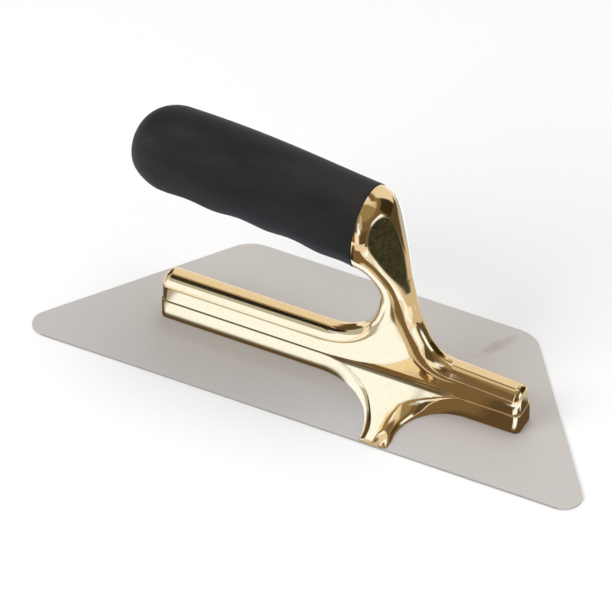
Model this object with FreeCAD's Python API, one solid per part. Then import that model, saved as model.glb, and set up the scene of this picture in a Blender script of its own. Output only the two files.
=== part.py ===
"""Trapezoid finishing trowel with a cast mount and a closed rubber grip.

Millimetres, +Z up.  The origin is on the blade's underside, at the middle of
its bounding rectangle.  X runs along the blade's long edge, the grip points
to -X, and the long front edge is on the -Y side.
"""
import FreeCAD, Part
import math
import os

Vector = FreeCAD.Vector
UP = Vector(0, 0, 1)
ALONG = Vector(1, 0, 0)
ACROSS = Vector(0, 1, 0)
tiny = 0.01                 # tolerance for picking edges, not a size
spare = 10.0                # how far a cutting tool reaches past the piece
fit_gap = 0.02              # air between a rod or shank and its hole

# ---------------------------------------------------------------- blade
blade_front_length = 240.0
blade_rear_length = 120.0
blade_width = 82.0
blade_thickness = 0.7
front_corner_radius = 7.0
rear_corner_radius = 13.0

# ---------------------------------------------------------------- mount, arms
mount_y = -6.3              # middle plane of arms, stem and grip
arm_half_width = 5.6        # flat front and rear walls of the two arms
arm_edge_radius = 4.9       # rounding of the arms' and neck's long edges
arm_top = 19.7              # height of the arms' ridge
short_arm_drop = 1.0        # the short arm's ridge falls this much to its end
long_arm_end = -71.0
short_arm_end = 77.2
arm_end_radius = 2.8        # rounding all round the arms' ends

foot_top = 9.2              # height of the foot flange below the arms
foot_step = 0.3             # the flange stands this far proud of the arms
foot_corner_radius = 2.4
front_arm_left = 25.8       # the front arm's two sides at the blade's edge
front_arm_right = 37.8
front_arm_root_left = 21.2  # the same two sides where they meet the long arms
front_arm_root_right = 33.6
front_arm_left_radius = 30.0
front_arm_right_radius = 19.0
front_arm_middle_height = 5.3
front_arm_tip_height = 2.2
front_arm_edge_radius = 1.0

# ---------------------------------------------------------------- mount, stem
neck_left = 18.0            # the neck's two sides above the arms
neck_right = 31.6
neck_top = 46.0
left_flare_radius = 22.0
right_flare_height = 38.5   # where the right side starts to spread
right_flare_x = 32.6
right_flare_radius = 20.0
right_foot_x = 41.6         # where the spread meets the short arm
right_foot_rise = 1.2
right_foot_radius = 13.0

collar_x = 13.4             # face of the collar that the grip butts against
collar_z = 73.5
collar_radius = 16.5
# Sections of the stem from inside the neck up to just before the collar:
# outer point (X, Z), inner point (X, Z) and half width across.
stem_sections = (
    ((36.5, 26.0), (14.5, 26.0), 4.6),
    ((33.6, 36.0), (17.9, 35.6), 5.9),
    ((32.0, 44.0), (18.6, 42.2), 6.5),
    ((29.8, 54.0), (17.8, 48.4), 7.8),
    ((27.1, 66.0), (16.2, 53.1), 10.6),
    ((23.3, 79.0), (14.9, 55.8), 13.5),
    ((18.4, 87.3), (14.1, 57.1), 15.7),
)

# Flat facet ground on the stem's front flank, inside an oval limit.
facet_centre = (24.3, -11.0, 69.3)
facet_facing = 69.0         # degrees from -Y towards +X
facet_tilt = 14.0           # degrees that the facet looks up
facet_lean = 10.0           # degrees that the oval's long axis leans
facet_height = 44.0
facet_width = 26.0

# ---------------------------------------------------------------- grip
# Points on the grip's axis from the collar to the butt: X, Z and radius.
grip_axis = (
    (collar_x, collar_z, collar_radius),
    (-4.0, 75.8, 16.4),
    (-27.0, 78.4, 16.6),
    (-45.0, 79.6, 16.8),
    (-66.0, 80.7, 16.4),
)
grip_rings = 24             # rings along the straight part
grip_end = -82.6
dome_rings = 7
dome_turn = 84.0            # degrees of the dome before its small flat
dome_fullness = 0.85        # 1 is an elliptic dome, less is squarer
dome_drop = 0.8             # the butt's tip lies this much below the axis
grip_hollow_x = -13.0       # the first finger hollow underneath
grip_hollow_pitch = 21.5
grip_hollow_depth = 1.2
rubber_wall = 3.2

# ---------------------------------------------------------------- grip inside
core_end = -66.0            # where the plastic core stops inside the rubber
core_rings = 8
tang_slope = 5.0            # degrees that the tang rises towards the butt
tang_radius = 4.0
tang_socket_depth = 7.0     # how deep the tang sits in the collar
tang_length = 84.0
nut_seat = 67.0             # along the tang, from the collar to the washer
washer_radius = 8.0
washer_thickness = 1.6
nut_across_flats = 13.0
nut_height = 6.5
nut_pocket_radius = 9.0

# ---------------------------------------------------------------- rivets
rivet_radius = 2.0
rivet_head_radius = 3.2     # at the blade's underside, ground flush
rivet_length = 6.5
long_arm_rivet_x = (-64.0, -44.0, -24.0, -4.0)
short_arm_rivet_x = (28.0, 50.0, 70.0)
front_arm_rivet_x = 30.5
front_arm_rivet_y = -24.0
front_arm_rivet_length = 3.6


def rounded_wire(corners, radii):
    """Closed wire through 3-D corners, each rounded by its own radius."""
    count = len(corners)
    starts = []
    ends = []
    middles = []
    for i in range(count):
        here = corners[i]
        back = (corners[i - 1] - here).normalize()
        ahead = (corners[(i + 1) % count] - here).normalize()
        angle = back.getAngle(ahead)
        reach = radii[i] / math.tan(angle / 2)
        starts.append(here + back * reach)
        ends.append(here + ahead * reach)
        bisector = (back + ahead).normalize()
        middles.append(here + bisector * (radii[i] / math.sin(angle / 2) - radii[i]))
    edges = []
    for i in range(count):
        if radii[i] > 0:
            edges.append(Part.Arc(starts[i], middles[i], ends[i]).toShape())
        edges.append(Part.LineSegment(ends[i], starts[(i + 1) % count]).toShape())
    return Part.Wire(edges)


def ellipse_wire(centre, first, second):
    """Closed ellipse from its centre and two half-axis vectors.

    It is four quarters that start at the end of the first half axis, so that
    the seams of neighbouring rings line up in a loft.
    """
    quarter = math.pi / 2
    if first.Length > second.Length:
        curve = Part.Ellipse(centre + first, centre + second, centre)
        start = 0
    else:
        curve = Part.Ellipse(centre + second * (1 + 1e-7), centre - first, centre)
        start = 3 * quarter
    return Part.Wire([curve.toShape(start + quarter * i, start + quarter * (i + 1))
                      for i in range(4)])


def blade_blank():
    """Flat trapezoid sheet with rounded corners."""
    front = blade_front_length / 2
    rear = blade_rear_length / 2
    half = blade_width / 2
    corners = [Vector(-front, -half, 0), Vector(front, -half, 0),
               Vector(rear, half, 0), Vector(-rear, half, 0)]
    radii = [front_corner_radius, front_corner_radius,
             rear_corner_radius, rear_corner_radius]
    return Part.Face(rounded_wire(corners, radii)).extrude(UP * blade_thickness)


def foot_outline(height):
    """T-shaped outline of the foot flange, at a given height."""
    front = mount_y - arm_half_width - foot_step
    rear = mount_y + arm_half_width + foot_step
    left = long_arm_end - foot_step
    right = short_arm_end + foot_step
    edge = -blade_width / 2
    outline = [
        (left, rear, foot_corner_radius),
        (left, front, foot_corner_radius),
        (front_arm_root_left, front, front_arm_left_radius),
        (front_arm_left, edge, 0),
        (front_arm_right, edge, 0),
        (front_arm_root_right, front, front_arm_right_radius),
        (right, front, foot_corner_radius),
        (right, rear, foot_corner_radius),
    ]
    return rounded_wire([Vector(x, y, height) for x, y, radius in outline],
                        [radius for x, y, radius in outline])


def foot_flange():
    """Foot flange: level under the arms, and falling along the front arm."""
    block = Part.Face(foot_outline(blade_thickness)).extrude(UP * foot_top)
    x = long_arm_end - spare
    length = short_arm_end - long_arm_end + 2 * spare
    front = mount_y - arm_half_width - foot_step
    edge = -blade_width / 2
    rear = mount_y + arm_half_width + spare
    low = Vector(x, rear, 0)
    high = Vector(x, rear, foot_top)
    root = Vector(x, front, foot_top)
    middle = Vector(x, (front + edge) / 2, front_arm_middle_height)
    tip = Vector(x, edge, front_arm_tip_height)
    past = Vector(x, edge - spare, front_arm_tip_height)
    bottom = Vector(x, edge - spare, 0)
    roof = Part.Wire([
        Part.LineSegment(low, high).toShape(),
        Part.LineSegment(high, root).toShape(),
        Part.Arc(root, middle, tip).toShape(),
        Part.LineSegment(tip, past).toShape(),
        Part.LineSegment(past, bottom).toShape(),
        Part.LineSegment(bottom, low).toShape(),
    ])
    flange = block.common(Part.Face(roof).extrude(ALONG * length))
    top_edges = []
    for edge_shape in flange.Edges:
        box = edge_shape.BoundBox
        in_front = box.YMax < front + tiny and box.YMin < front - foot_top / 2
        if in_front and box.ZMin > blade_thickness + tiny and box.ZLength > foot_top / 2:
            top_edges.append(edge_shape)
    return flange.makeFillet(front_arm_edge_radius, top_edges)


def arm_and_neck_plate():
    """Both arms and the neck: one plate of constant width, edges rounded."""
    y = mount_y - arm_half_width
    outline = [
        (long_arm_end, blade_thickness, 0),
        (long_arm_end, arm_top, 0),
        (neck_left, arm_top, left_flare_radius),
        (neck_left, neck_top, 0),
        (neck_right, neck_top, 0),
        (right_flare_x, right_flare_height, right_flare_radius),
        (right_foot_x, arm_top + right_foot_rise, right_foot_radius),
        (short_arm_end, arm_top - short_arm_drop, 0),
        (short_arm_end, blade_thickness, 0),
    ]
    corners = [Vector(x, y, z) for x, z, radius in outline]
    radii = [radius for x, z, radius in outline]
    plate = Part.Face(rounded_wire(corners, radii)).extrude(ACROSS * 2 * arm_half_width)
    long_edges = []
    for edge in plate.Edges:
        box = edge.BoundBox
        flat = box.YLength < tiny
        on_end = box.XLength < tiny and (box.XMin < long_arm_end + tiny or
                                         box.XMax > short_arm_end - tiny)
        level = box.ZLength < tiny and (box.ZMin < blade_thickness + tiny or
                                        box.ZMin > neck_top - tiny)
        if flat and not on_end and not level:
            long_edges.append(edge)
    plate = plate.makeFillet(arm_edge_radius, long_edges)
    end_edges = []
    for edge in plate.Edges:
        box = edge.BoundBox
        on_end = box.XLength < tiny and (box.XMin < long_arm_end + tiny or
                                         box.XMax > short_arm_end - tiny)
        if on_end and box.ZMax > blade_thickness + tiny:
            end_edges.append(edge)
    return plate.makeFillet(arm_end_radius, end_edges)


def facet_cutter():
    """Oval tool whose flat end makes the facet on the stem's front flank."""
    turn = math.radians(facet_facing)
    tilt = math.radians(facet_tilt)
    outward = Vector(math.sin(turn) * math.cos(tilt), -math.cos(turn) * math.cos(tilt),
                     math.sin(tilt))
    sideways = UP.cross(outward).normalize()
    upward = outward.cross(sideways)
    lean = math.radians(facet_lean)
    long_axis = upward * math.cos(lean) - sideways * math.sin(lean)
    short_axis = outward.cross(long_axis).normalize()
    oval = ellipse_wire(Vector(*facet_centre), long_axis * (facet_height / 2),
                        short_axis * (facet_width / 2))
    return Part.Face(oval).extrude(outward * spare)


def grip_value(x, column):
    """Height (column 1) or radius (column 2) of the grip's axis at one X.

    It is the smooth curve through all points of grip_axis.
    """
    total = 0
    for here in grip_axis:
        weight = 1
        for other in grip_axis:
            if other is not here:
                weight *= (x - other[0]) / (here[0] - other[0])
        total += weight * here[column]
    return total


def ring(x, height, top, bottom, side):
    """Upright ring at one X: how far it reaches up, down and to each side."""
    centre = Vector(x, mount_y, height + (top - bottom) / 2)
    return ellipse_wire(centre, UP * ((top + bottom) / 2), ACROSS * side)


def grip_ring(x):
    """The grip's outer ring at one X, with the finger hollows underneath."""
    turn = 2 * math.pi * (x - grip_hollow_x) / grip_hollow_pitch
    hollow = grip_hollow_depth / 2 * (1 + math.cos(turn))
    radius = grip_value(x, 2)
    return ring(x, grip_value(x, 1), radius, radius - hollow, radius - hollow / 4)


def stem():
    """Stem that swells from the neck and turns back into the round collar."""
    sections = []
    for outer, inner, half_width in stem_sections:
        outer_point = Vector(outer[0], mount_y, outer[1])
        inner_point = Vector(inner[0], mount_y, inner[1])
        centre = (outer_point + inner_point) * 0.5
        sections.append(ellipse_wire(centre, outer_point - centre, ACROSS * half_width))
    sections.append(grip_ring(collar_x))
    return Part.makeLoft(sections, True, False)


def grip_outside():
    """Outer form of the grip: finger hollows underneath and a domed butt."""
    last = grip_axis[-1][0]
    steps = [i / grip_rings for i in range(grip_rings + 1)]
    rings = [grip_ring(collar_x + (last - collar_x) * step) for step in steps]
    height = grip_value(last, 1)
    radius = grip_value(last, 2)
    for i in range(1, dome_rings + 1):
        angle = math.radians(dome_turn) * i / dome_rings
        run = math.sin(angle) / math.sin(math.radians(dome_turn))
        reach = radius * math.cos(angle) ** dome_fullness
        x = last + (grip_end - last) * run
        rings.append(ring(x, height - dome_drop * run ** 2, reach, reach, reach))
    return Part.makeLoft(rings, True, False)


def core_outside():
    """Outer form of the plastic core, one rubber wall inside the grip."""
    rings = []
    for i in range(core_rings + 1):
        x = collar_x + (core_end - collar_x) * i / core_rings
        reach = grip_value(x, 2) - rubber_wall
        rings.append(ring(x, grip_value(x, 1), reach, reach, reach))
    return Part.makeLoft(rings, True, False)


def along_tang(distance):
    """Point on the tang's axis, measured from the collar's face to the butt."""
    slope = math.radians(tang_slope)
    return Vector(collar_x - distance * math.cos(slope), mount_y,
                  collar_z + distance * math.sin(slope))


def tang_cylinder(radius, start, end):
    """Cylinder about the tang's axis between two distances from the collar."""
    direction = along_tang(end) - along_tang(start)
    return Part.makeCylinder(radius, direction.Length, along_tang(start), direction)


def tang_rod():
    """Steel rod from the collar's socket to past the nut."""
    return tang_cylinder(tang_radius, -tang_socket_depth, tang_length - tang_socket_depth)


def tang_washer():
    """Flat washer on the core's nut seat."""
    end = nut_seat + washer_thickness
    disc = tang_cylinder(washer_radius, nut_seat, end)
    return disc.cut(tang_cylinder(tang_radius + fit_gap, nut_seat - spare, end + spare))


def tang_nut():
    """Hexagon nut on the tang, against the washer."""
    start = nut_seat + washer_thickness
    direction = along_tang(1) - along_tang(0)
    side = ACROSS
    rise = direction.cross(side)
    corner_radius = nut_across_flats / math.sqrt(3)
    corners = []
    for i in range(7):
        angle = math.radians(60 * i)
        corners.append(along_tang(start) + side * (corner_radius * math.cos(angle))
                       + rise * (corner_radius * math.sin(angle)))
    blank = Part.Face(Part.makePolygon(corners)).extrude(direction * nut_height)
    end = start + nut_height
    return blank.cut(tang_cylinder(tang_radius + fit_gap, start - spare, end + spare))


def grip_core():
    """Plastic core with the tang's bore and the nut's pocket."""
    core = core_outside()
    core = core.cut(tang_cylinder(tang_radius + fit_gap, -spare, nut_seat + spare))
    return core.cut(tang_cylinder(nut_pocket_radius, nut_seat, nut_seat + 3 * spare))


def rivet_places():
    """Rivet X, Y and length for each of the three arms."""
    return {
        "long_arm_rivets": [(x, mount_y, rivet_length) for x in long_arm_rivet_x],
        "short_arm_rivets": [(x, mount_y, rivet_length) for x in short_arm_rivet_x],
        "front_arm_rivet": [(front_arm_rivet_x, front_arm_rivet_y,
                             front_arm_rivet_length)],
    }


def rivet(place, gap=0.0):
    """Countersunk rivet standing on the blade's underside.

    With a gap it is the tool for the hole that the rivet sits in.
    """
    x, y, length = place
    base = Vector(x, y, 0)
    head = Part.makeCone(rivet_head_radius + gap, rivet_radius + gap, blade_thickness, base)
    shank = Part.makeCylinder(rivet_radius + gap, length + gap, base)
    return head.fuse(shank).removeSplitter()


def rivet_holes():
    """All rivet holes as one tool."""
    holes = []
    for places in rivet_places().values():
        holes.extend(rivet(place, fit_gap) for place in places)
    return Part.makeCompound(holes)


def mount_casting():
    """The whole casting: foot, arms, neck, stem, collar, facet and sockets."""
    body = foot_flange().fuse(arm_and_neck_plate()).fuse(stem())
    body = body.cut(facet_cutter())
    body = body.cut(tang_cylinder(tang_radius + fit_gap, -tang_socket_depth, spare))
    return body.cut(rivet_holes())


def build():
    """Make every piece and write it to its own file."""
    os.makedirs("parts", exist_ok=True)
    parts = {
        "blade": blade_blank().cut(rivet_holes()),
        "mount_casting": mount_casting(),
        "rubber_grip": grip_outside().cut(core_outside()),
        "grip_core": grip_core(),
        "tang_rod": tang_rod(),
        "tang_washer": tang_washer(),
        "tang_nut": tang_nut(),
    }
    for name, places in rivet_places().items():
        parts[name] = Part.makeCompound([rivet(place) for place in places])
    for name, shape in parts.items():
        shape.exportStep("parts/" + name + ".step")
        print(name, shape.isValid(), len(shape.Solids), round(shape.Volume), "mm3")


build()
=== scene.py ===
"""Looks of the trapezoid finishing trowel: gold-plated casting, rubber grip, satin blade.

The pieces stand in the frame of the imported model, in metres, +Z up.  Shapes
are worked out in millimetres and put into the meshes in metres.
"""
import bpy
import math
import numpy as np
from bpy.props import FloatProperty, FloatVectorProperty, IntProperty, PointerProperty
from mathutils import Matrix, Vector


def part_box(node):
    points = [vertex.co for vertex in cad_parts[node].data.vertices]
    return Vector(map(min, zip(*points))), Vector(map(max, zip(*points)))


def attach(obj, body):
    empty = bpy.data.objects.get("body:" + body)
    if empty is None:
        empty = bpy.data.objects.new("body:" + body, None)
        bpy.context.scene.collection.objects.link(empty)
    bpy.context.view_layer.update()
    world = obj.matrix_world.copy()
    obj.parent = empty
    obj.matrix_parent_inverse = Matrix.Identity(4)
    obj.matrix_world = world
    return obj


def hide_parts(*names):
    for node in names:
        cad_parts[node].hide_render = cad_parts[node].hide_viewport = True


bl_info = {
    "name": "Finishing Trowel",
    "version": (1, 0, 0),
    "blender": (4, 5, 0),
    "location": "View3D > Sidebar > Trowel",
    "description": "Builds a finishing trowel: gold casting, rubber grip and satin blade",
    "category": "Add Mesh",
}

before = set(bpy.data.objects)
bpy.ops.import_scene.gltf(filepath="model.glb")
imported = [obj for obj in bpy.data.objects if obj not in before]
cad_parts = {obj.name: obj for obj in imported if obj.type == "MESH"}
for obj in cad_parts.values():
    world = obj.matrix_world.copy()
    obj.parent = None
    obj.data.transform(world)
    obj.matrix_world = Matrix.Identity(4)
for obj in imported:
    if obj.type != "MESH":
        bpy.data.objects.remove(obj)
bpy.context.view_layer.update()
MM = 0.001


def node_box(name):
    """Lowest and highest corner of a node, in millimetres."""
    low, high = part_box(name)
    return np.array(low) / MM, np.array(high) / MM


blade_low, blade_high = node_box("blade")
casting_low, casting_high = node_box("mount_casting")
grip_low, grip_high = node_box("rubber_grip")
mount_y = (grip_low[1] + grip_high[1]) / 2  # the middle plane of casting and grip
collar_x = grip_high[0]  # where the grip meets the collar

# Sections of the stem: outer point (X, Z), inner point (X, Z), half width.
# The first is hidden in the neck, the last two are the collar and its tail in the grip.
stem_sections = np.array([
    (38.6, 15.0, 12.0, 16.0, 3.4),
    (36.5, 26.0, 14.5, 26.0, 4.6),
    (33.6, 36.0, 17.9, 35.6, 5.9),
    (32.0, 44.0, 18.6, 42.2, 6.5),
    (29.8, 54.0, 17.8, 48.4, 7.8),
    (27.1, 66.0, 16.2, 53.1, 10.6),
    (23.3, 79.0, 14.9, 55.8, 13.5),
    (18.4, 87.2, 14.1, 57.1, 15.6),
    (13.4, 89.7, 13.4, 57.4, 16.1),
    (10.4, 89.7, 10.4, 57.6, 16.0),
])

# The grip's axis: X, Z and radius.
grip_axis = np.array([
    (13.4, 73.5, 16.5),
    (-4.0, 75.8, 16.4),
    (-27.0, 78.4, 16.6),
    (-45.0, 79.6, 16.8),
    (-66.0, 80.7, 16.4),
])

# The front arm's roof: distance in front of the arms' wall and height.
front_roof = np.array([
    (-4.0, 9.2), (-1.5, 9.2), (0.0, 9.2), (1.5, 8.55), (4.0, 7.3), (8.0, 5.65), (12.0, 4.6),
    (18.0, 3.7), (24.0, 3.0), (28.8, 2.5), (33.0, 2.1),
])


# Painted reflections: what the polished metal mirrors is painted on glowing cards.
# Shades, as strengths of red, green and blue, and patches, as (first range, second
# range, soft edge, shade), each over those before it.  The dome's ranges are
# azimuth and elevation in degrees, the level cards' are X and Y in millimetres.
cream = (1.08, 1.34, 1.74)
ivory = (1.03, 1.07, 1.11)
pale = (0.88, 0.856, 0.772)
tan = (0.69, 0.64, 0.517)
beige = (0.53, 0.585, 0.62)
olive = (0.33, 0.277, 0.162)
brown = (0.2, 0.143, 0.08)
umber = (0.11, 0.0817, 0.0456)
dark = (0.04, 0.033, 0.0166)
dome_reflection_patches = [
    ((-190, 190), (-10, 95), 4, pale),
    ((-150, 0), (68, 95), 5, tan),
    ((-26, 190), (44, 95), 10, olive),
    ((114, 190), (50, 95), 8, tan),
    ((122, 190), (60, 95), 8, pale),
    ((-176, -146), (63, 77), 3, brown),
    ((-152, -118), (50, 66), 8, olive),
    ((-138, -96), (-10, 48), 8, umber),
    ((-100, -60), (-10, 60), 8, beige),
    ((-28, 152), (-10, 49), 8, brown),
    ((16, 60), (-10, 26), 6, umber),
    ((-62, -14.6), (-10, 28), 1.5, cream),
    ((-62, -20), (24, 46), 1.5, cream),
    ((-62, -32), (40, 62), 6, cream),
    ((-58, -26), (39, 64), 5, beige),
    ((-28, -13), (42, 62), 5, brown),
    ((-120, -52), (57, 67), 3, dark),
    ((-72, -48), (67, 74), 2, cream),
    ((-6, 8), (12, 38), 3, umber),
    ((4, 18), (-10, 22), 4, ivory),
    ((12, 23), (20, 46), 6, cream),
    ((18, 31), (32, 62), 5, beige),
    ((116, 152), (-10, 38), 7, dark),
    ((78, 109), (-8, 25), 6, cream),
    ((138, 190), (50, 63), 4, brown),
    ((153, 190), (-10, 46), 4, pale),
    ((166, 190), (64, 76), 3, cream),
    ((-190, -171), (64, 76), 3, cream),
]
table_reflection_patches = [
    ((96, 600), (70, 600), 20, umber),
    ((250, 600), (-300, 600), 30, umber),
    ((-90, -76), (-45, 0), 2, umber),
    ((-78, -14), (-57, -30), 6, beige),
    ((-85, -32), (-300, -56), 8, cream),
    ((-34, -12), (-300, -56), 8, tan),
    ((-10, 64), (-300, -43), 6, brown),
    ((-16, -5), (-300, -48), 5, dark),
    ((14, 250), (-600, -168), 8, pale),
    ((66, 250), (-180, -146), 8, pale),
    ((206, 252), (-150, -12), 8, pale),
    ((37, 84), (-50, -6), 6, brown),
    ((60, 80), (-42, -12), 8, umber),
    ((-73, 26), (-33, -5), 5, cream),
    ((-14, 24), (-43, -20), 3, cream),
    ((16, 36), (-53, -40), 5, tan),
    ((100, 200), (-50, 94), 8, tan),
    ((66, 124), (-58, -30), 6, cream),
    ((74, 200), (-112, -72), 10, cream),
    ((96, 122), (-46, -2), 6, ivory),
    ((74.2, 88), (-24, -11), 1.5, cream),
    ((84, 106), (-34, 1), 3, cream),
    ((76, 86), (-11, 7), 2, umber),
    ((76, 95), (7, 22), 3, beige),
    ((24, 96), (45, 112), 10, tan),
    ((24, 92), (108, 260), 10, beige),
    ((-12, 30), (45, 150), 8, cream),
    ((196, 310), (-18, 110), 8, umber),
    ((-66, -8), (4, 42), 6, beige),
    # A dark band along the arms' front wall: a painted dark reflection, the dark line at the foot's
    # base.
    ((-100, 90), (-14.8, -5), 1.5, umber),
]
# A cream patch on the card under the grip: a painted reflection that the front arm's roof shows in
# place of the dark grip.
under_grip_reflection_patches = [
    ((-12, 22), (-34, 22), 6, cream),
]

# Flat facet on the stem's right flank: a point on its plane and the way it faces.
facet_point = np.array([24.3, -11.0, 69.3])
facet_facing, facet_tilt = math.radians(69), math.radians(14)
facet_outward = np.array([math.sin(facet_facing) * math.cos(facet_tilt),
                          -math.cos(facet_facing) * math.cos(facet_tilt), math.sin(facet_tilt)])
facet_foot, facet_rear = 44.0, 8.0  # it reaches down and back to these, in Z and X
facet_edge = 0.6  # rounding of its rim

# The line where the casting's body stands on its foot.
crease_height = 9.05
body_bottom = 8.2  # the body goes on inside the foot, down to here

# Brownish streak on the blade: its place (X, Y), the way it runs, and its half
# length and half width.
streak_place = (49.2, 28.7)
streak_facing = (0.46, 0.89)
streak_half = (11.0, 3.0)

# Colours that the finishes mix in.
worn_plating = (0.82, 0.60, 0.32)
brushed_steel = (0.45, 0.43, 0.41)
# The dark colour of the painted shade along the blade's edges.
edge_shade_colour = (0.2, 0.19, 0.18)

# Soft lamps: name, place and side in metres, power in watts.
lamps = [
    ("key", (-0.6, -0.9, 0.9), 0.8, 9.5),
    ("top", (0.1, 0.3, 1.4), 1.0, 8.0),
    ("side", (1.1, -0.3, 0.6), 0.5, 1.0),
]
part_middle = (0.0, 0.0, 0.03)


# ---- curves and fields
def spline(places, values):
    """Smooth curve through values at increasing places.

    It is the natural cubic spline: third-degree pieces whose first and second
    derivatives agree at the places.
    """
    steps = np.diff(places)
    count = len(places)
    system = np.eye(count)
    right = np.zeros(count)
    slopes = np.diff(values) / steps
    for i in range(1, count - 1):
        system[i, i - 1:i + 2] = steps[i - 1], 2 * (steps[i - 1] + steps[i]), steps[i]
        right[i] = 6 * (slopes[i] - slopes[i - 1])
    bend = np.linalg.solve(system, right)

    def curve(where):
        where = np.clip(where, places[0], places[-1])
        i = np.clip(np.searchsorted(places, where) - 1, 0, count - 2)
        ahead = (where - places[i]) / steps[i]
        back = 1 - ahead
        return (back * values[i] + ahead * values[i + 1]
                + ((back ** 3 - back) * bend[i] + (ahead ** 3 - ahead) * bend[i + 1])
                * steps[i] ** 2 / 6)
    return curve


def unit(vector):
    return vector / np.linalg.norm(vector)


def cross2(a, b):
    return a[0] * b[1] - a[1] * b[0]


def outline_pieces(corners):
    """Lines and arcs of a counter-clockwise outline of (u, v, radius) corners.

    Each corner is rounded by the circle of its radius that touches both sides.
    """
    points = [np.array(corner[:2], float) for corner in corners]
    lines, arcs, ends = [], [], []
    for i, here in enumerate(points):
        back = unit(points[i - 1] - here)
        ahead = unit(points[(i + 1) % len(points)] - here)
        half = math.acos(np.clip(back @ ahead, -1, 1)) / 2
        radius = corners[i][2]
        start, end = here + back * radius / math.tan(half), here + ahead * radius / math.tan(half)
        ends.append((start, end))
        if radius > 0:
            centre = here + unit(back + ahead) * radius / math.sin(half)
            arcs.append((centre, radius, start, end, np.sign(cross2(-back, ahead))))
    for i in range(len(points)):
        lines.append((ends[i][1], ends[(i + 1) % len(points)][0]))
    return lines, arcs


def outline_distance(outline, u, v):
    """Distance to an outline, negative inside: the nearest line's or arc's own."""
    lines, arcs = outline
    best = np.full(np.broadcast(u, v).shape, np.inf)
    signed = np.zeros_like(best)
    for start, end in lines:
        along = unit(end - start)
        run = (u - start[0]) * along[0] + (v - start[1]) * along[1]
        side = (u - start[0]) * along[1] - (v - start[1]) * along[0]
        over = run - np.clip(run, 0, np.linalg.norm(end - start))
        far = np.hypot(side, over)
        nearer = (far < best - 1e-9) | ((np.abs(far - best) <= 1e-9) & (side > signed))
        best = np.where(nearer, far, best)
        signed = np.where(nearer, np.where(side < 0, -far, far), signed)
    for centre, radius, start, end, turn in arcs:
        reach = np.hypot(u - centre[0], v - centre[1])
        place = (u - centre[0], v - centre[1])
        within = ((cross2(start - centre, place) * turn >= 0)
                  & (cross2(place, end - centre) * turn >= 0))
        far = np.where(within, np.abs(reach - radius), np.inf)
        nearer = far <= best
        best = np.where(nearer, far, best)
        signed = np.where(nearer, (reach - radius) * turn, signed)
    return signed


def rounded_and(a, b, radius):
    """Both of two solids, their meeting edge rounded: length of the parts past -radius."""
    a, b = a + radius, b + radius
    return np.minimum(np.maximum(a, b), 0) + np.hypot(np.maximum(a, 0), np.maximum(b, 0)) - radius


def blended_or(a, b, width):
    """Either of two solids, with a soft fillet: the least, less a cubic near a tie."""
    near = np.maximum(width - np.abs(a - b), 0) / width
    return np.minimum(a, b) - near ** 3 * width / 6


def ellipse_distance(u, v, first, second):
    """Near-true distance to an ellipse: its level less 1, over the level's steepness."""
    level = np.sqrt((u / first) ** 2 + (v / second) ** 2) + 1e-9
    steep = np.sqrt((u / first ** 2) ** 2 + (v / second ** 2) ** 2) + 1e-9
    return level * (level - 1) / steep


def ease(step):
    """Smooth step: 0 below 0, 1 above 1, and the cubic 3 t^2 - 2 t^3 between."""
    step = np.clip(step, 0, 1)
    return step * step * (3 - 2 * step)


def slope_of(field, points, step=0.01):
    """Gradient of a field at points, by central differences."""
    grads = []
    for axis in np.eye(3) * step:
        ahead, back = points + axis, points - axis
        grads.append((field(*ahead.T) - field(*back.T)) / (2 * step))
    return np.stack(grads, axis=1)


def crossing_means(level, inside):
    """Mean place in each grid cell where its edges cross zero, and which cells are crossed.

    The place on an edge is where the straight line between its ends' levels is
    zero.  Places count in cells, from the grid's first corner.
    """
    size = np.array(level.shape) - 1
    total = np.zeros(tuple(size) + (3,), dtype=np.float32)
    count = np.zeros(tuple(size), dtype=np.float32)
    for axis in range(3):
        others = [a for a in range(3) if a != axis]
        for i, j in ((0, 0), (0, 1), (1, 0), (1, 1)):
            shift = [0, 0, 0]
            shift[others[0]], shift[others[1]] = i, j
            first = tuple(slice(s, s + n) for s, n in zip(shift, size))
            shift[axis] = 1
            second = tuple(slice(s, s + n) for s, n in zip(shift, size))
            a, b = level[first], level[second]
            hit = inside[first] != inside[second]
            count += hit
            total[..., axis] += np.where(hit, a / np.where(hit, a - b, 1), 0)
            total[..., others[0]] += np.where(hit, i, 0)
            total[..., others[1]] += np.where(hit, j, 0)
    used = count > 0
    return np.argwhere(used) + total[used] / count[used][:, None], used


def crossing_faces(inside, used):
    """Four-sided face for each grid edge that crosses zero, of the four cells around it."""
    index = np.full(used.shape, -1)
    index[used] = np.arange(used.sum())
    faces = []
    for axis in range(3):
        first = [slice(None)] * 3
        second = [slice(None)] * 3
        first[axis], second[axis] = slice(0, -1), slice(1, None)
        a, b = inside[tuple(first)], inside[tuple(second)]
        u, v = [(1, 2), (2, 0), (0, 1)][axis]
        spots = np.argwhere(a != b)
        spots = spots[(spots[:, u] > 0) & (spots[:, v] > 0)
                      & (spots[:, u] < used.shape[u]) & (spots[:, v] < used.shape[v])]
        ring = []
        for du, dv in ((-1, -1), (0, -1), (0, 0), (-1, 0)):
            place = spots.copy()
            place[:, u] += du
            place[:, v] += dv
            ring.append(index[tuple(place.T)])
        quad = np.stack(ring, axis=1)
        inward = ~a[tuple(spots.T)]
        quad[inward] = quad[inward][:, ::-1]
        faces.append(quad)
    return np.concatenate(faces)


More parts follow.
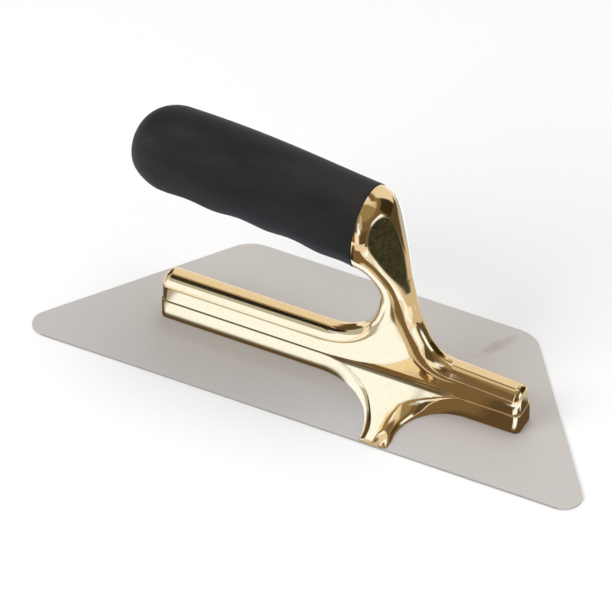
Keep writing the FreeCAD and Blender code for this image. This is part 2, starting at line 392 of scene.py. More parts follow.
def skin(field, low, high, cell):
    """Mesh of the surface where a field is zero, on a grid of cells.

    Each cell that the surface crosses gets one point, the mean of the places
    where its edges cross zero, moved along the field's slope onto the surface.
    The normals are the field's slope there.
    """
    moves, least_steep = 4, 0.25
    axes = [np.arange(a, b + cell, cell) for a, b in zip(low, high)]
    level = field(*np.meshgrid(*axes, indexing="ij", sparse=True))
    inside = level < 0
    places, used = crossing_means(level, inside)
    points = np.array(low) + places * cell
    for _ in range(moves):
        grad = slope_of(field, points)
        steep = np.maximum((grad ** 2).sum(axis=1), least_steep)
        move = -(field(*points.T) / steep)[:, None] * grad
        points = points + np.clip(move, -cell / 3, cell / 3)
    grad = slope_of(field, points)
    normals = grad / np.maximum(np.linalg.norm(grad, axis=1), 1e-9)[:, None]
    return points, crossing_faces(inside, used), normals


def ring_surface(rings):
    """Closed mesh from rings of points, (count, around, 3), with a pole at each end."""
    count, around = rings.shape[:2]
    i = np.arange(count - 1)[:, None]
    j = np.arange(around)[None, :]
    k = (j + 1) % around
    quads = np.stack([i * around + j, i * around + k, (i + 1) * around + k,
                      (i + 1) * around + j], axis=-1).reshape(-1, 4)
    points = rings.reshape(-1, 3)
    poles = np.array([rings[0].mean(axis=0), rings[-1].mean(axis=0)])
    spin = np.arange(around)
    first = np.stack([(spin + 1) % around, spin, np.full(around, len(points))], axis=1)
    last = np.stack([(count - 1) * around + spin, (count - 1) * around + (spin + 1) % around,
                     np.full(around, len(points) + 1)], axis=1)
    return np.concatenate([points, poles]), [quads, first, last]


def new_piece(name, points, faces, material, normals=None):
    """Object at the origin from millimetre points and one or more arrays of faces."""
    if isinstance(faces, np.ndarray):
        faces = [faces]
    mesh = bpy.data.meshes.new(name)
    corners = np.concatenate([group.reshape(-1) for group in faces])
    sizes = np.concatenate([np.full(len(group), group.shape[1]) for group in faces])
    mesh.vertices.add(len(points))
    mesh.vertices.foreach_set("co", (points * MM).astype(np.float32).reshape(-1))
    mesh.loops.add(len(corners))
    mesh.loops.foreach_set("vertex_index", corners.astype(np.int32))
    mesh.polygons.add(len(sizes))
    starts = np.concatenate([[0], np.cumsum(sizes)[:-1]])
    mesh.polygons.foreach_set("loop_start", starts.astype(np.int32))
    mesh.update(calc_edges=True)
    mesh.validate()
    mesh.shade_smooth()
    if normals is not None:
        mesh.normals_split_custom_set_from_vertices(normals.tolist())
    mesh.materials.append(material)
    piece = bpy.data.objects.new(name, mesh)
    bpy.context.scene.collection.objects.link(piece)
    return piece


# ---- casting
def plate_field(sizes):
    """Field of the arms and the neck: an upright outline of one width, its edges rounded.

    The edges are quarter ellipses.  They reach further in on the short arm, and
    furthest in the neck, by a bell curve of the distance from its middle.  Over
    the neck the field rises by a square, so the plate ends inside the stem.
    """
    half = sizes.arm_width / MM / 2
    edge = sizes.edge_radius / MM
    end = sizes.end_radius / MM
    ridge = sizes.arm_height / MM
    left, right = casting_low[0] + sizes.foot_step / MM, casting_high[0] - sizes.foot_step / MM
    neck_right, neck_left, neck_top = 41.6, 18.0, 56.0
    root, spare = 5.0, 12.0  # the outline starts inside the foot and runs past the ends
    fall = 1.0 / (right - neck_right)  # the short arm's ridge falls by 1 mm to its end
    outline = outline_pieces([
        (left - spare, root, 0), (right + spare, root, 0),
        (right + spare, ridge - 1 - spare * fall, 0), (neck_right, ridge + 1.2, 13),
        (32.6, 38.5, 20), (31.6, neck_top, 0), (neck_left, neck_top, 0),
        (neck_left, ridge, 22), (left - spare, ridge, 0)])
    arm_more, neck_more = 1.0, 3.2

    def field(x, y, z):
        flat = outline_distance(outline, x, z)
        wide = np.abs(y - mount_y) - half
        in_neck = np.exp(-((x - 37) / 11) ** 2 - ((z - 25) / 13) ** 2)
        reach = edge + arm_more * ease((x - 24) / 16) + neck_more * in_neck
        u, v = np.maximum(flat + reach, 0), np.maximum(wide + edge, 0)
        body = np.where((u > 0) & (v > 0), ellipse_distance(u, v, reach, edge),
                        np.maximum(flat, wide))
        body = rounded_and(body, np.maximum(x - right, left - x), end)
        return body + np.maximum((z - 34) / 12, 0) ** 2
    return field


def stem_field():
    """Field of the stem: each slanting section is an ellipse between the outer and inner curve.

    The section through a point is found by halving, and the distance to its
    ellipse is taken.
    """
    halvings = 26
    foot, tail = 17.0, 11.2  # the stem is cut off inside the neck and inside the grip
    chord = np.hypot(*np.diff((stem_sections[:, 0:2] + stem_sections[:, 2:4]) / 2, axis=0).T)
    places = np.concatenate([[0], np.cumsum(chord)])
    outer_x, outer_z, inner_x, inner_z, width = [
        spline(places, stem_sections[:, i]) for i in range(5)]

    def field(x, y, z):
        shape = np.broadcast(x, z).shape
        low, high = np.zeros(shape), np.full(shape, places[-1])
        for _ in range(halvings):
            middle = (low + high) / 2
            ox, oz = outer_x(middle), outer_z(middle)
            past = (inner_x(middle) - ox) * (z - oz) - (inner_z(middle) - oz) * (x - ox) < 0
            low, high = np.where(past, middle, low), np.where(past, high, middle)
        place = (low + high) / 2
        ox, oz, ix, iz = outer_x(place), outer_z(place), inner_x(place), inner_z(place)
        long = np.hypot(ix - ox, iz - oz)
        run = ((x - ox) * (ix - ox) + (z - oz) * (iz - oz)) / long - long / 2
        body = ellipse_distance(run, y - mount_y, long / 2, width(place))
        return np.maximum(np.maximum(body, foot - z), tail - x)
    return field


def body_field(sizes):
    """Field of the upper casting: plate and stem blended, with the facet sunk in its flank."""
    plate = plate_field(sizes)
    stem = stem_field()
    outward = facet_outward
    depth = facet_point @ outward
    nowhere = -50.0  # a level that cuts nothing

    def field(x, y, z):
        body = blended_or(plate(x, y, z), stem(x, y, z), sizes.blend / MM)
        facet = x * outward[0] + y * outward[1] + z * outward[2] - depth
        facet = np.where((x > facet_rear) & (z > facet_foot), facet, nowhere)
        body = rounded_and(body, facet, facet_edge)
        return np.maximum(body, body_bottom - z)
    return field


def foot_field(sizes):
    """Field of the foot: a level flange under the arms and a crowned front arm.

    The plan outline sweeps from the flange into the front arm.  It is rounded
    over towards the roof, by quarter ellipses that grow with the distance in
    front of the arms' wall, and more on the right side than on the left.
    """
    half = sizes.arm_width / MM / 2 + sizes.foot_step / MM
    front, rear = mount_y - half, mount_y + half
    left, right = casting_low[0], casting_high[0]
    edge = blade_low[1]
    past = edge - 20  # the arm is drawn on past the blade's edge and cut there
    corner, left_sweep, right_sweep = 2.4, 30.0, 19.0
    outline = outline_pieces([
        (left, rear, corner), (left, front, corner), (21.2, front, left_sweep), (29.0, past, 0),
        (40.7, past, 0), (33.6, front, right_sweep), (right, front, corner), (right, rear, corner)])
    roof = spline(front_roof[:, 0], front_roof[:, 1])
    top = blade_high[2]
    least_reach, least_rise = 0.4, 0.4
    tip_drop, cut_radius, sink = 1.1, 0.5, 0.08

    def field(x, y, z):
        flat = outline_distance(outline, x, y)
        ahead = np.maximum(front - y, 0)
        right_side = ease((x - 28) / 3.5)
        left_side = 1.6 * ease((ahead - 12) / 14) * (1 - right_side)
        height = roof(front - y) - tip_drop * ease((x - 31) / 4) * ease((ahead - 21) / 8)
        reach = least_reach + ease(ahead / 9) * (2.0 + 4.2 * right_side + left_side)
        rise = np.minimum(least_rise + ease(ahead / 6) * 4, height - top - 0.3)
        u, v = np.maximum(flat + reach, 0), np.maximum(z - height + rise, 0)
        round_over = ellipse_distance(u, v, reach, rise)
        plain = np.maximum(flat, z - height)
        body = np.where((u > 0) & (v > 0), round_over, plain)
        body = rounded_and(body, edge - y, cut_radius)
        return rounded_and(body, top - sink - z, sizes.sole_radius / MM)
    return field


class CastingSizes(bpy.types.PropertyGroup):
    arm_height: FloatProperty(
        name="Arm ridge", description="Height of the long arm's ridge above the table",
        default=0.0197, unit="LENGTH", subtype="DISTANCE")
    arm_width: FloatProperty(
        name="Arm width", description="Width of both arms across",
        default=0.0112, unit="LENGTH", subtype="DISTANCE")
    edge_radius: FloatProperty(
        name="Long edge radius", description="Rounding along the arms and neck",
        default=0.0049, unit="LENGTH", subtype="DISTANCE")
    end_radius: FloatProperty(
        name="End radius", description="Rounding all round the arms' ends",
        default=0.0028, unit="LENGTH", subtype="DISTANCE")
    blend: FloatProperty(
        name="Neck blend", description="Width of the soft fillet between neck and stem",
        default=0.0025, unit="LENGTH", subtype="DISTANCE")
    foot_step: FloatProperty(
        name="Foot step", description="How far the foot stands proud of the arms",
        default=0.0003, unit="LENGTH", subtype="DISTANCE")
    sole_radius: FloatProperty(
        name="Sole radius", description="Rounding where the foot meets the blade",
        default=0.0004, unit="LENGTH", subtype="DISTANCE")
    cell: FloatProperty(
        name="Cell", description="Size of the grid cells that the skin is worked out on",
        default=0.0006, unit="LENGTH", subtype="DISTANCE")
    plating: FloatVectorProperty(
        name="Plating", description="Colour of the polished gold plating",
        default=(0.92, 0.70, 0.42), size=3, min=0, max=1, subtype="COLOR")
    # The facet's dark colour: partly its dull cast skin, partly a painted dark reflection.
    cast_skin_and_dark_reflection: FloatVectorProperty(
        name="Facet", description="Colour of the unpolished cast facet",
        default=(0.055, 0.044, 0.016), size=3, min=0, max=1, subtype="COLOR")
    # Painted shade: the colour of the dark line painted along the crease, in place of the groove's
    # shade.
    crease_shade_colour: FloatVectorProperty(
        name="Crease", description="Colour of the tarnish in the crease above the foot",
        default=(0.10, 0.06, 0.025), size=3, min=0, max=1, subtype="COLOR")


class GripSizes(bpy.types.PropertyGroup):
    end_radius: FloatProperty(
        name="End radius", description="Rounding of the grip's edge at the collar",
        default=0.0008, unit="LENGTH", subtype="DISTANCE")
    hollow_depth: FloatProperty(
        name="Finger hollows", description="Depth of the finger hollows underneath",
        default=0.0012, unit="LENGTH", subtype="DISTANCE")
    hollow_pitch: FloatProperty(
        name="Hollow pitch", description="Distance between finger hollows",
        default=0.0215, unit="LENGTH", subtype="DISTANCE")
    around: IntProperty(
        name="Around", description="Points around the grip", default=180, min=24)
    rubber: FloatVectorProperty(
        name="Rubber", description="Colour of the grip's rubber",
        default=(0.0165, 0.0155, 0.0155), size=3, min=0, max=1, subtype="COLOR")
    dust: FloatVectorProperty(
        name="Dust", description="Colour of rubbed, dusty spots",
        default=(0.06, 0.058, 0.055), size=3, min=0, max=1, subtype="COLOR")


class BladeSizes(bpy.types.PropertyGroup):
    steel: FloatVectorProperty(
        name="Steel", description="Colour of the satin blade",
        default=(0.625, 0.592, 0.57), size=3, min=0, max=1, subtype="COLOR")
    stain: FloatVectorProperty(
        name="Stain", description="Colour of faint handling stains",
        default=(0.42, 0.36, 0.31), size=3, min=0, max=1, subtype="COLOR")
    fitting: FloatVectorProperty(
        name="Fittings", description="Colour of rivets, tang, washer and nut",
        default=(0.55, 0.55, 0.55), size=3, min=0, max=1, subtype="COLOR")
    plastic: FloatVectorProperty(
        name="Core", description="Colour of the plastic core",
        default=(0.03, 0.03, 0.032), size=3, min=0, max=1, subtype="COLOR")


class StageSizes(bpy.types.PropertyGroup):
    azimuth: FloatProperty(
        name="Camera azimuth", description="Camera's turn from the front towards +X",
        default=math.radians(26.443), unit="ROTATION", subtype="ANGLE")
    elevation: FloatProperty(
        name="Camera elevation", description="Camera's height angle",
        default=math.radians(41.85), unit="ROTATION", subtype="ANGLE")
    distance: FloatProperty(
        name="Camera distance", description="Distance from the aim point",
        default=2.885945, unit="LENGTH", subtype="DISTANCE")
    aim: FloatVectorProperty(
        name="Aim point", description="Point that the camera looks at",
        default=(-0.009687, -0.012819, 0.0307), size=3, unit="LENGTH", subtype="XYZ")
    view_angle: FloatProperty(
        name="View angle", description="Camera's angle of view",
        default=math.radians(4.5), unit="ROTATION", subtype="ANGLE")
    floor: FloatVectorProperty(
        name="Floor", description="Colour of the floor",
        default=(0.95, 0.95, 0.95), size=3, min=0, max=1, subtype="COLOR")
    sky: FloatProperty(
        name="Sky", description="Strength of the sky's soft light on the part",
        default=0.55, min=0, max=1, subtype="FACTOR")


# ---- finishes
class Value:
    """A socket that is used in sums and products: each operation adds its Math node."""

    def __init__(self, tree, socket):
        self.tree = tree
        self.socket = socket

    def math(self, operation, *entries):
        """Result of one Math node on values or numbers, in this order."""
        inputs = dict(enumerate(entries))
        return self.tree.node("ShaderNodeMath", {"operation": operation}, inputs).value()

    def __add__(self, other):
        return self.math("ADD", self, other)

    def __sub__(self, other):
        return self.math("SUBTRACT", self, other)

    def __rsub__(self, other):
        return self.math("SUBTRACT", other, self)

    def __mul__(self, other):
        return self.math("MULTIPLY", self, other)

    def __truediv__(self, other):
        return self.math("DIVIDE", self, other)

    def __rtruediv__(self, other):
        return self.math("DIVIDE", other, self)

    def __abs__(self):
        return self.math("ABSOLUTE", self)

    __radd__ = __add__
    __rmul__ = __mul__

    def root(self):
        """Square root."""
        return self.math("SQRT", self)

    def within(self, low, high):
        """0 at low, 1 at high, and a smooth step between."""
        settings = {"interpolation_type": "SMOOTHSTEP"}
        inputs = {"Value": self, "From Min": low, "From Max": high}
        return self.tree.node("ShaderNodeMapRange", settings, inputs).value()


class Step:
    """One node of a tree, whose outputs can be taken as values."""

    def __init__(self, tree, node):
        self.tree = tree
        self.node = node

    def value(self, output=0):
        """One output, by number or by name."""
        return Value(self.tree, self.node.outputs[output])


class Tree:
    """The nodes of a material or of the world, added one by one."""

    def __init__(self, owner):
        owner.use_nodes = True
        self.tree = owner.node_tree
        self.tree.nodes.clear()

    def node(self, kind, settings=None, inputs=None):
        """Adds a node: its type, its settings, and the values or links of its sockets."""
        node = self.tree.nodes.new(kind)
        for name, setting in (settings or {}).items():
            setattr(node, name, setting)
        for name, entry in (inputs or {}).items():
            if isinstance(entry, Step):
                entry = entry.value()
            if isinstance(entry, Value):
                self.tree.links.new(entry.socket, node.inputs[name])
            else:
                node.inputs[name].default_value = entry
        return Step(self, node)

    def seen(self):
        """At least 1 for what is seen directly, mirrored or through glass, 0 for soft light."""
        path = self.node("ShaderNodeLightPath")
        return (path.value("Is Camera Ray") + path.value("Is Glossy Ray")
                + path.value("Is Transmission Ray"))


class Finish(Tree):
    """A material in the making."""

    def __init__(self, name):
        self.material = bpy.data.materials.new(name)
        super().__init__(self.material)

    def place(self):
        """Object coordinates."""
        return self.node("ShaderNodeTexCoord").value("Object")

    def axes(self):
        """The object coordinates X, Y and Z, in millimetres."""
        parts = self.node("ShaderNodeSeparateXYZ", None, {0: self.place()})
        return [parts.value(axis) * (1 / MM) for axis in range(3)]

    def stretched(self, scale):
        """Object coordinates scaled along each axis."""
        inputs = {"Vector": self.place(), "Scale": scale}
        return self.node("ShaderNodeMapping", None, inputs).value()

    def noise(self, scale, detail=2.0, rough=0.5, vector=None):
        """Soft noise from 0 to 1, with scale waves to a metre."""
        inputs = {"Vector": vector or self.place(), "Scale": scale,
                  "Detail": detail, "Roughness": rough}
        return self.node("ShaderNodeTexNoise", None, inputs).value("Fac")

    def mix(self, factor, first, second):
        """Colour between two, by factor."""
        settings = {"data_type": "RGBA", "clamp_factor": True}
        inputs = {"Factor": factor, 6: first, 7: second}
        return self.node("ShaderNodeMix", settings, inputs).value(2)

    def bump(self, height, distance, strength=1.0, **sockets):
        """Normal of a relief: its height from 0 to 1, and the distance that 1 stands for."""
        inputs = {"Height": height, "Distance": distance, "Strength": strength, **sockets}
        return self.node("ShaderNodeBump", None, inputs).value()

    def shaded(self, **sockets):
        """Ends the finish with its surface shader; base_color=... sets Base Color, and so on."""
        names = {name.replace("_", " ").title().replace("Ior", "IOR"): entry
                 for name, entry in sockets.items()}
        return self.ended(self.node("ShaderNodeBsdfPrincipled", None, names))

    def ended(self, shader):
        """Ends the finish with any shader."""
        self.node("ShaderNodeOutputMaterial", None, {"Surface": shader})
        return self.material


def rgba(colour, part=1.0):
    """Full colour socket from a colour's red, green and blue, times a part."""
    return tuple(channel * part for channel in colour) + (1.0,)


def gold_finish(sizes):
    """Polished plating with a dull speckled facet and painted shade along the crease.

    Over it run faint casting waves and fine wiping marks.
    """
    gold = Finish("gold_plating")
    along, across, height = gold.axes()

    # The facet's skin: on its plane or just inside it, and not below or behind it.
    facing = facet_outward.tolist()
    depth = float(facet_point @ facet_outward)
    level = along * facing[0] + across * facing[1] + height * facing[2] - depth
    facet = level.within(-0.28, -0.06) * height.within(49.0, 49.8) * along.within(10, 12)

    # The crease: a thin level line of painted shade on both walls, left off on the
    # short arm's front wall.
    line = 1 - abs(height - crease_height).within(0.12, 0.42)
    walls = abs(across - mount_y).within(5.2, 5.5)
    # This mask keeps the painted shade line off the short arm's front wall.
    rubbed = along.within(44, 56) * (1 - across.within(-3, 0))
    crease = line * walls * (1 - rubbed)

    mottle = gold.noise(420, 3.0, 0.6)
    speckle = gold.noise(2600, 2.0, 0.7)
    marks = gold.noise(900, 4.0, 0.7)
    worn = gold.mix(mottle.within(0.45, 0.75) * 0.25, rgba(sizes.plating), rgba(worn_plating))
    grit = speckle.within(0.45, 0.65) * mottle.within(0.3, 0.6)
    # The facet's colour: dull cast skin with lighter grit, kept dark partly as a painted dark
    # reflection.
    cast = gold.mix(grit, rgba(sizes.cast_skin_and_dark_reflection), rgba(sizes.cast_skin_and_dark_reflection, 4.0))
    colour = gold.mix(facet, worn, cast)
    colour = gold.mix(crease * 0.85, colour, rgba(sizes.crease_shade_colour))
    rough = 0.07 + marks.within(0.4, 0.8) * 0.05 + facet * (0.34 + 0.1 * speckle) + crease * 0.25
    waves = gold.bump(gold.noise(60, 1.0) * 0.5, 0.00012)
    grains = gold.bump(speckle * facet, 0.0002, 0.6, Normal=waves)
    return gold.shaded(base_color=colour, metallic=1.0, roughness=rough, normal=grains)


def rubber_finish(sizes):
    """Satin black rubber: fine moulded grain, soft rubbed patches and a few dusty flecks."""
    rubber = Finish("grip_rubber_black")
    grain = rubber.noise(5200, 2.0, 0.6)
    patches = rubber.noise(38, 3.0, 0.55, rubber.stretched((0.45, 1.0, 1.0)))
    flecks = rubber.noise(900, 3.0, 0.65, rubber.stretched((0.35, 1.0, 1.0)))
    dusty = flecks.within(0.66, 0.76) * patches.within(0.5, 0.62)
    rubbed = dusty * 0.8 + patches.within(0.4, 0.7) * 0.28
    colour = rubber.mix(rubbed, rgba(sizes.rubber), rgba(sizes.dust))
    rough = 0.42 + patches.within(0.35, 0.7) * 0.1 + grain * 0.06 + dusty * 0.15
    relief = rubber.bump(grain + dusty * 0.5, 0.00005, 0.5)
    return rubber.shaded(base_color=colour, roughness=rough, normal=relief,
                         specular_ior_level=0.1)


def steel_finish(sizes):
    """Satin stainless sheet: fine brushed lines along it, faint cloudy stains.

    It has one brownish streak, an ellipse that lies askew at the right end,
    and a darker line of painted shade along the ground edges.
    """
    steel = Finish("blade_satin_steel")
    along, across, _ = steel.axes()
    brushed = steel.noise(260, 3.0, 0.6, steel.stretched((1.0, 26.0, 26.0)))
    clouds = steel.noise(16, 2.0, 0.5)
    stain = steel.noise(48, 3.0, 0.5).within(0.63, 0.8) * 0.22
    colour = steel.mix(stain, rgba(sizes.steel), rgba(sizes.stain))
    colour = steel.mix((brushed - 0.5) * 0.3, colour, rgba(brushed_steel))

    ahead, aside = along - streak_place[0], across - streak_place[1]
    run, step = streak_facing
    length = (ahead * run + aside * step) / streak_half[0]
    width = (ahead * step - aside * run) / streak_half[1]
    streak = 1 - (length * length + width * width).root().within(0.4, 1.1)
    broken = steel.noise(150, 2.0, 0.6).within(0.2, 0.55)
    colour = steel.mix(streak * broken * 0.5, colour, rgba(sizes.stain))

    # Painted shade: a darker line along the long edges, for the shade on the edges' thickness.
    edges = abs(across).within(blade_high[1] - 0.1, blade_high[1] - 0.02)
    colour = steel.mix(edges * 0.5, colour, rgba(edge_shade_colour))
    rough = 0.5 + brushed * 0.04 + clouds * 0.03
    lines = steel.bump(brushed, 0.00002, 0.4)
    return steel.shaded(base_color=colour, metallic=0.3, roughness=rough, normal=lines)


def fitting_finish(name, colour, metallic, rough):
    """Turned or moulded fitting that is mostly hidden: fine machining noise."""
    fitting = Finish(name)
    rings = fitting.noise(700, 2.0, 0.5, fitting.stretched((6.0, 1.0, 1.0)))
    shade = fitting.mix(rings * 0.35, rgba(colour), rgba(colour, 0.6))
    relief = fitting.bump(rings, 0.00003, 0.4)
    return fitting.shaded(base_color=shade, metallic=metallic, roughness=rings * 0.1 + rough,
                          normal=relief)


def give_node(name, material):
    """Puts a finish on a node that keeps its own mesh."""
    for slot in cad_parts[name].material_slots:
        slot.material = material


# ---- operators
class TROWEL_OT_casting(bpy.types.Operator):
    """Builds the gold-plated casting: its body and its foot"""
    bl_idname = "trowel.casting"
    bl_label = "Casting"

    def execute(self, context):
        sizes = context.scene.trowel_casting
        gold = gold_finish(sizes)
        cell = sizes.cell / MM
        low, high = casting_low - 2 * cell, casting_high + 2 * cell
        front_arm, under_body, over_foot = 15.0, 7.0, 10.5
        body_corner = (low[0], low[1] + front_arm, under_body)
        foot_corners = (low[0], low[1] - 1, 0.0), (high[0], high[1], over_foot)
        body = skin(body_field(sizes), body_corner, high, cell)
        foot = skin(foot_field(sizes), *foot_corners, cell)
        for name, (points, faces, normals) in {"casting_body": body, "casting_foot": foot}.items():
            piece = new_piece(name, points, faces, gold, normals)
            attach(piece, "root")
            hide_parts("mount_casting")
        return {"FINISHED"}


def grip_points(sizes):
    """Rings of the grip, from the collar's face to the butt.

    Along the axis the centre's height and the radius are the smooth curve
    through the axis points.  The radius underneath is less by a cosine wave,
    which makes the finger hollows.  The collar's edge is a quarter circle,
    and the butt is a dome, a cosine of the angle to a power under one.
    """
    edge = sizes.end_radius / MM
    last = grip_axis[-1, 0]
    butt = grip_low[0]
    butt_fullness, butt_sink = 0.85, 0.8  # power of the dome's cosine, and how far it drops
    wave_crest, under_width = -13.0, 1.5  # X of the deepest hollow, power of the sine below

    turn = np.radians(np.linspace(90, 0, 9))
    edge_x = collar_x - edge + edge * np.sin(turn)
    inset = edge * (1 - np.cos(turn))
    run = np.linspace(0, 1, 150)[1:]
    straight_x = (collar_x - edge) + (last - collar_x + edge) * run
    dome = np.radians(np.linspace(0, 89.0, 46))[1:]
    part = np.sin(dome) / np.sin(dome[-1])
    dome_x = last + (butt - last) * part

    x = np.concatenate([edge_x, straight_x, dome_x])
    before_dome = len(edge_x) + len(straight_x)
    scale = np.concatenate([np.ones(before_dome), np.cos(dome) ** butt_fullness])
    drop = np.concatenate([inset, np.zeros(len(x) - len(edge_x))])
    sink = np.concatenate([np.zeros(before_dome), butt_sink * part ** 2])
    limited = np.maximum(x, last)
    radius = axis_value(limited, 2) * scale - drop
    centre = axis_value(limited, 1) - sink
    phase = 2 * np.pi * (x - wave_crest) / (sizes.hollow_pitch / MM)
    wave = sizes.hollow_depth / MM / 2 * (1 + np.cos(phase))
    wave = np.where(x < last, wave * scale ** 2, wave)

    angle = np.linspace(0, 2 * np.pi, sizes.around, endpoint=False)
    under = np.maximum(-np.sin(angle), 0) ** under_width
    reach = radius[:, None] - wave[:, None] * under[None, :]
    y = mount_y + reach * np.cos(angle)
    z = centre[:, None] + reach * np.sin(angle)
    return np.stack([np.broadcast_to(x[:, None], y.shape), y, z], axis=-1)


def axis_value(x, column):
    """The grip's axis height (1) or radius (2): the one polynomial through all axis points."""
    total = np.zeros_like(x)
    for i, here in enumerate(grip_axis[:, 0]):
        others = np.delete(grip_axis[:, 0], i)
        weight = np.prod([(x - other) / (here - other) for other in others], axis=0)
        total = total + weight * grip_axis[i, column]
    return total


class TROWEL_OT_grip(bpy.types.Operator):
    """Builds the closed rubber grip"""
    bl_idname = "trowel.grip"
    bl_label = "Grip"

    def execute(self, context):
        sizes = context.scene.trowel_grip
        points, faces = ring_surface(grip_points(sizes))
        piece = new_piece("grip_skin", points, faces, rubber_finish(sizes))
        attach(piece, "root")
        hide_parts("rubber_grip")
        return {"FINISHED"}


class TROWEL_OT_blade(bpy.types.Operator):
    """Finishes the blade, the rivets and the fittings inside the grip"""
    bl_idname = "trowel.blade"
    bl_label = "Blade and fittings"

    def execute(self, context):
        sizes = context.scene.trowel_blade
        give_node("blade", steel_finish(sizes))
        rivet = fitting_finish("rivet_ground_steel", sizes.fitting, 1.0, 0.3)
        for name in ("long_arm_rivets", "short_arm_rivets", "front_arm_rivet"):
            give_node(name, rivet)
        zinc = fitting_finish("tang_zinc_steel", sizes.fitting, 1.0, 0.35)
        for name in ("tang_rod", "tang_washer", "tang_nut"):
            give_node(name, zinc)
        give_node("grip_core", fitting_finish("core_black_plastic", sizes.plastic, 0.0, 0.5))
        return {"FINISHED"}


def painted(u, v, patches):
    """Colour and cover on a grid of (u, v): each patch is laid over those before it.

    A patch is (u range, v range, soft edge, shade); it fades in over the soft
    edge, by the smooth step of the distance to each side.
    """
    paint = np.zeros(np.broadcast(u, v).shape + (4,))
    for u_range, v_range, soft, shade in patches:
        cover = np.ones(paint.shape[:2])
        for place, (low, high) in ((u, u_range), (v, v_range)):
            cover = cover * ease((place - low) / soft + 0.5)
            cover = cover * ease((high - place) / soft + 0.5)
        paint += cover[..., None] * (np.array(shade + (1.0,)) - paint)
    return paint


def glowing_card(name, points, shade):
    """Card from a grid of points, that glows from its front side as it is painted.

    It is seen by gloss only: the camera, the soft light and the shadows pass it
    by, and from behind it is clear.
    """
    glow = Finish(name)
    paint = glow.node("ShaderNodeAttribute", {"attribute_name": "paint"})
    light = glow.node("ShaderNodeEmission", None, {"Color": paint.value("Color")})
    clear = glow.node("ShaderNodeBsdfTransparent")
    behind = glow.node("ShaderNodeNewGeometry").value("Backfacing")
    factor = paint.value("Alpha") * (1 - behind)
    glow.ended(glow.node("ShaderNodeMixShader", None, {0: factor, 1: clear, 2: light}))
    wide, tall = shade.shape[:2]
    i, j = np.meshgrid(np.arange(wide - 1), np.arange(tall - 1), indexing="ij")
    first = (i * tall + j).reshape(-1)
    faces = np.stack([first, first + tall, first + tall + 1, first + 1], axis=1)
    card = new_piece(name, points.reshape(-1, 3), faces, glow.material)
    layer = card.data.color_attributes.new("paint", "FLOAT_COLOR", "POINT")
    layer.data.foreach_set("color", shade.astype(np.float32).reshape(-1))
    card.visible_camera = False
    card.visible_diffuse = False
    card.visible_shadow = False
    card.visible_transmission = False


def dome_card(radius, centre):
    """Painted reflections: a glowing dome, painted by its patches, that the metal mirrors in place
    of the studio's walls and ceiling.

    Azimuth is the turn from the front (-Y) towards +X, and elevation the angle
    up from level, both as seen from the dome's centre.
    """
    az = np.linspace(-180, 180, 361)[:, None]
    el = np.linspace(88, -4, 93)[None, :]
    shade = painted(az, el, dome_reflection_patches)
    flat = np.cos(np.radians(el))
    points = np.stack([np.sin(np.radians(az)) * flat, -np.cos(np.radians(az)) * flat,
                       np.sin(np.radians(el)) + 0 * az], axis=-1) * radius
    glowing_card("card_dome", points + centre, shade)


def two_steps(whole, near, coarse, fine):
    """Places along a range: fine steps in its near part, and coarse ones on both sides."""
    return np.concatenate([np.arange(whole[0], near[0], coarse), np.arange(near[0], near[1], fine),
                           np.arange(near[1], whole[1] + coarse, coarse)])


def level_card(name, x, y, height, patches, downward=False):
    """Level card on a grid of places, painted by patches of X and Y.

    It faces up, and with its X places in reverse order it faces down.
    """
    x, y = x[:, None], y[None, :]
    if downward:
        x = x[::-1]
    shade = painted(x, y, patches)
    points = np.stack(np.broadcast_arrays(x, y, height + 0 * x), axis=-1)
    glowing_card(name, points, shade)


def softbox(name, place, size, power):
    """Soft lamp, turned to the part, that gloss doesn't see: the cards stand for it there."""
    lamp = bpy.data.lights.new(name, "AREA")
    lamp.size = size
    lamp.energy = power
    holder = bpy.data.objects.new(name, lamp)
    holder.location = place
    aim = Vector(part_middle) - Vector(place)
    holder.rotation_euler = aim.to_track_quat("-Z", "Y").to_euler()
    holder.visible_glossy = False
    bpy.context.scene.collection.objects.link(holder)


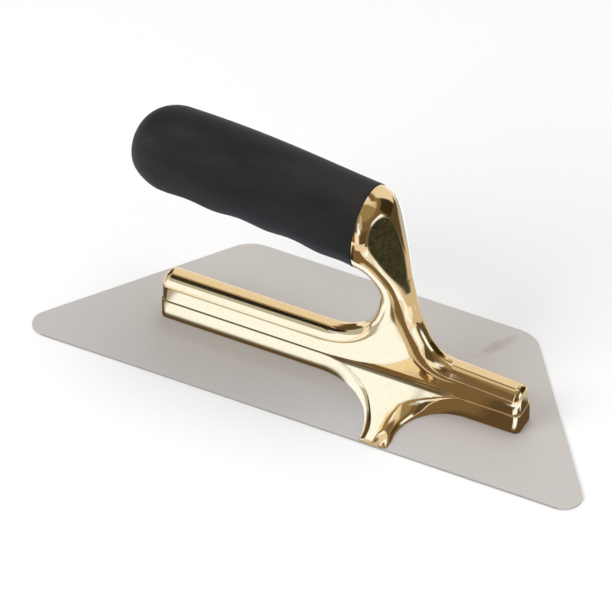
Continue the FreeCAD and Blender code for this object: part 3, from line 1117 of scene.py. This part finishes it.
class TROWEL_OT_stage(bpy.types.Operator):
    """Sets up the floor, the sky, the lamps, the cards and the camera"""
    bl_idname = "trowel.stage"
    bl_label = "Stage"

    def execute(self, context):
        sizes = context.scene.trowel_stage
        scene = context.scene
        scene.view_settings.view_transform = "Standard"

        # A floor that keeps the shadow near the part and is seen white far from it.
        reach, below = 6000.0, 0.15
        corners = np.array([(-1, -1, 0), (1, -1, 0), (1, 1, 0), (-1, 1, 0)])
        ring = corners * reach + (0, 0, -below)
        paint = Finish("floor_paint")
        away = paint.node("ShaderNodeVectorMath", {"operation": "LENGTH"}, {0: paint.place()})
        far = away.value("Value").within(0.2, 0.7)
        shade = paint.node("ShaderNodeBsdfDiffuse", None, {"Color": rgba(sizes.floor)})
        white = paint.node("ShaderNodeEmission")
        paint.ended(paint.node("ShaderNodeMixShader", None,
                               {0: paint.seen() * far, 1: shade, 2: white}))
        new_piece("floor", ring, np.array([[0, 1, 2, 3]]), paint.material)

        # A sky that is seen white and lights the part less.
        world = bpy.data.worlds.new("studio")
        scene.world = world
        studio = Tree(world)
        strength = {"Value": studio.seen(), "To Min": sizes.sky, "To Max": 1.0}
        level = studio.node("ShaderNodeMapRange", None, strength)
        sky = studio.node("ShaderNodeBackground", None, {"Strength": level})
        studio.node("ShaderNodeOutputWorld", None, {"Surface": sky})

        for lamp in lamps:
            softbox(*lamp)

        whole, coarse, fine = (-590, 590), 8.0, 0.8
        dome_radius, dome_height, over_blade, collar_end = 600.0, 30.0, 0.08, 56.0
        dome_card(dome_radius, (0, 0, dome_height))
        level_card("card_table", two_steps(whole, (-104, 160), coarse, fine),
                   two_steps(whole, (-120, 40), coarse, fine), blade_high[2] + over_blade,
                   table_reflection_patches)
        level_card("card_under_grip", np.arange(-18.0, 29.0), np.arange(-40.0, 29.0),
                   collar_end, under_grip_reflection_patches, downward=True)

        camera = bpy.data.cameras.new("camera")
        holder = bpy.data.objects.new("camera", camera)
        back = Vector((math.sin(sizes.azimuth) * math.cos(sizes.elevation),
                       -math.cos(sizes.azimuth) * math.cos(sizes.elevation),
                       math.sin(sizes.elevation)))
        holder.location = Vector(sizes.aim) + back * sizes.distance
        holder.rotation_euler = (-back).to_track_quat("-Z", "Y").to_euler()
        camera.angle = sizes.view_angle
        camera.clip_end = 20
        scene.collection.objects.link(holder)
        scene.camera = holder
        return {"FINISHED"}


class TROWEL_PT_panel(bpy.types.Panel):
    """Trowel pieces and their sizes"""
    bl_idname = "TROWEL_PT_panel"
    bl_label = "Trowel"
    bl_space_type = "VIEW_3D"
    bl_region_type = "UI"
    bl_category = "Trowel"

    def draw(self, context):
        for operator, group, holder in steps:
            box = self.layout.box()
            box.operator(operator.bl_idname)
            for name in group.__annotations__:
                box.prop(getattr(context.scene, holder), name)


# Each operator with its sizes, and where the scene holds them.
steps = (
    (TROWEL_OT_casting, CastingSizes, "trowel_casting"),
    (TROWEL_OT_grip, GripSizes, "trowel_grip"),
    (TROWEL_OT_blade, BladeSizes, "trowel_blade"),
    (TROWEL_OT_stage, StageSizes, "trowel_stage"),
)


def register():
    for operator, group, holder in steps:
        bpy.utils.register_class(group)
        bpy.utils.register_class(operator)
        setattr(bpy.types.Scene, holder, PointerProperty(type=group))
    bpy.utils.register_class(TROWEL_PT_panel)


def unregister():
    bpy.utils.unregister_class(TROWEL_PT_panel)
    for operator, group, holder in reversed(steps):
        delattr(bpy.types.Scene, holder)
        bpy.utils.unregister_class(operator)
        bpy.utils.unregister_class(group)


def main():
    register()
    bpy.ops.trowel.casting()
    bpy.ops.trowel.grip()
    bpy.ops.trowel.blade()
    bpy.ops.trowel.stage()


if __name__ == "__main__":
    main()
